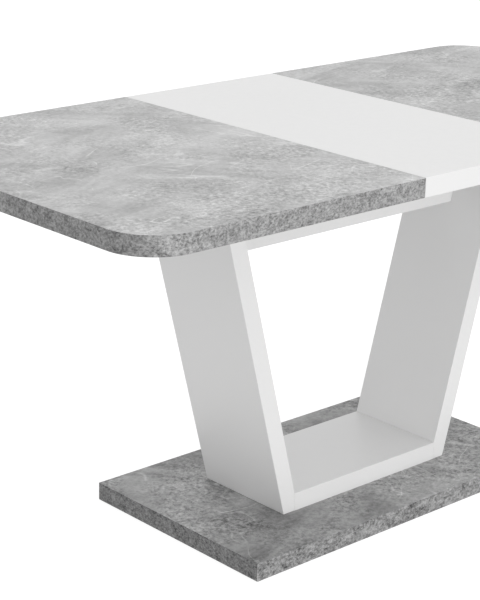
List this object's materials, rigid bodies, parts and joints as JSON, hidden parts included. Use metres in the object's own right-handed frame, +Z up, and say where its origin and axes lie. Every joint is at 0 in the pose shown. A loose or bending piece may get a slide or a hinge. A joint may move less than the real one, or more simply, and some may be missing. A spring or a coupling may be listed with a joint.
{
  "type": "extendable dining table",
  "caption": "Extendable dining table with a rounded two-part top, lift-out centre leaf, geared slides under the top, slanted panel pedestal and flat base slab.",
  "frame": {"origin": "on the floor under the table's centre, with the leaf in place", "axes": "+X along the table's length, +Y to its back, +Z up"},
  "size_m": [1.609, 0.8, 0.75],
  "materials": {
    "concrete_top": "board with a grey concrete-look laminate, matt",
    "concrete_base": "board with a darker concrete-look laminate, matt",
    "white_laminate": "white board, satin",
    "aluminium": "extruded, mill finish",
    "steel": "zinc plated",
    "nylon": "natural nylon",
    "glide_plastic": "black plastic",
    "beech": "fluted dowel"
  },
  "bodies": {
    "pedestal": {"back_left_base_bolt": "steel", "back_left_beam_screw": "steel", "back_left_foot_dowel": "beech", "back_left_glide": "glide_plastic", "back_left_runner_screw": "steel", "back_pinion_pin": "steel", "back_right_base_bolt": "steel", "back_right_beam_screw": "steel", "back_right_foot_dowel": "beech", "back_right_glide": "glide_plastic", "back_right_runner_screw": "steel", "back_runner": "aluminium", "base_slab": "concrete_base", "foot_board": "white_laminate", "front_left_base_bolt": "steel", "front_left_beam_screw": "steel", "front_left_foot_dowel": "beech", "front_left_glide": "glide_plastic", "front_left_runner_screw": "steel", "front_pinion_pin": "steel", "front_right_base_bolt": "steel", "front_right_beam_screw": "steel", "front_right_foot_dowel": "beech", "front_right_glide": "glide_plastic", "front_right_runner_screw": "steel", "front_runner": "aluminium", "left_crossbeam": "white_laminate", "left_leg_panel": "white_laminate", "right_crossbeam": "white_laminate", "right_leg_panel": "white_laminate", "stretcher_board": "white_laminate"},
    "left_half": {"back_left_leaf_plate": "steel", "back_left_rack": "nylon", "back_left_slide": "aluminium", "back_left_slide_screw_1": "steel", "back_left_slide_screw_2": "steel", "back_stop_pin": "steel", "front_left_leaf_plate": "steel", "front_left_rack": "nylon", "front_left_slide": "aluminium", "front_left_slide_screw_1": "steel", "front_left_slide_screw_2": "steel", "front_stop_pin": "steel", "left_top": "concrete_top"},
    "right_half": {"back_right_leaf_plate": "steel", "back_right_rack": "nylon", "back_right_slide": "aluminium", "back_right_slide_screw_1": "steel", "back_right_slide_screw_2": "steel", "front_right_leaf_plate": "steel", "front_right_rack": "nylon", "front_right_slide": "aluminium", "front_right_slide_screw_1": "steel", "front_right_slide_screw_2": "steel", "right_top": "concrete_top"},
    "leaf": {"centre_leaf": "white_laminate"},
    "front_gear": {"front_pinion": "nylon"},
    "back_gear": {"back_pinion": "nylon"}
  },
  "joints": [
    {"name": "left_half_slide", "type": "slide", "parent": "pedestal", "child": "left_half", "axis": [-1, 0, 0], "range_m": [0, 0.03]},
    {"name": "right_half_slide", "type": "slide", "parent": "pedestal", "child": "right_half", "axis": [1, 0, 0], "range_m": [0, 0.03]},
    {"name": "front_pinion_turn", "type": "hinge", "parent": "pedestal", "child": "front_gear", "pos_m": [0, -0.18, 0.702], "axis": [0, 0, 1], "range_deg": [-107.5, 0]},
    {"name": "back_pinion_turn", "type": "hinge", "parent": "pedestal", "child": "back_gear", "pos_m": [0, 0.18, 0.702], "axis": [0, 0, 1], "range_deg": [0, 107.5]},
    {"name": "leaf_lift", "type": "slide", "parent": "pedestal", "child": "leaf", "axis": [0, 0, 1], "range_m": [0, 0.15]}
  ],
  "couplings": [
    {"joint": "right_half_slide", "follows": "left_half_slide", "ratio": 1},
    {"joint": "front_pinion_turn", "follows": "left_half_slide", "rad_per_m": -62.5},
    {"joint": "back_pinion_turn", "follows": "left_half_slide", "rad_per_m": 62.5}
  ]
}
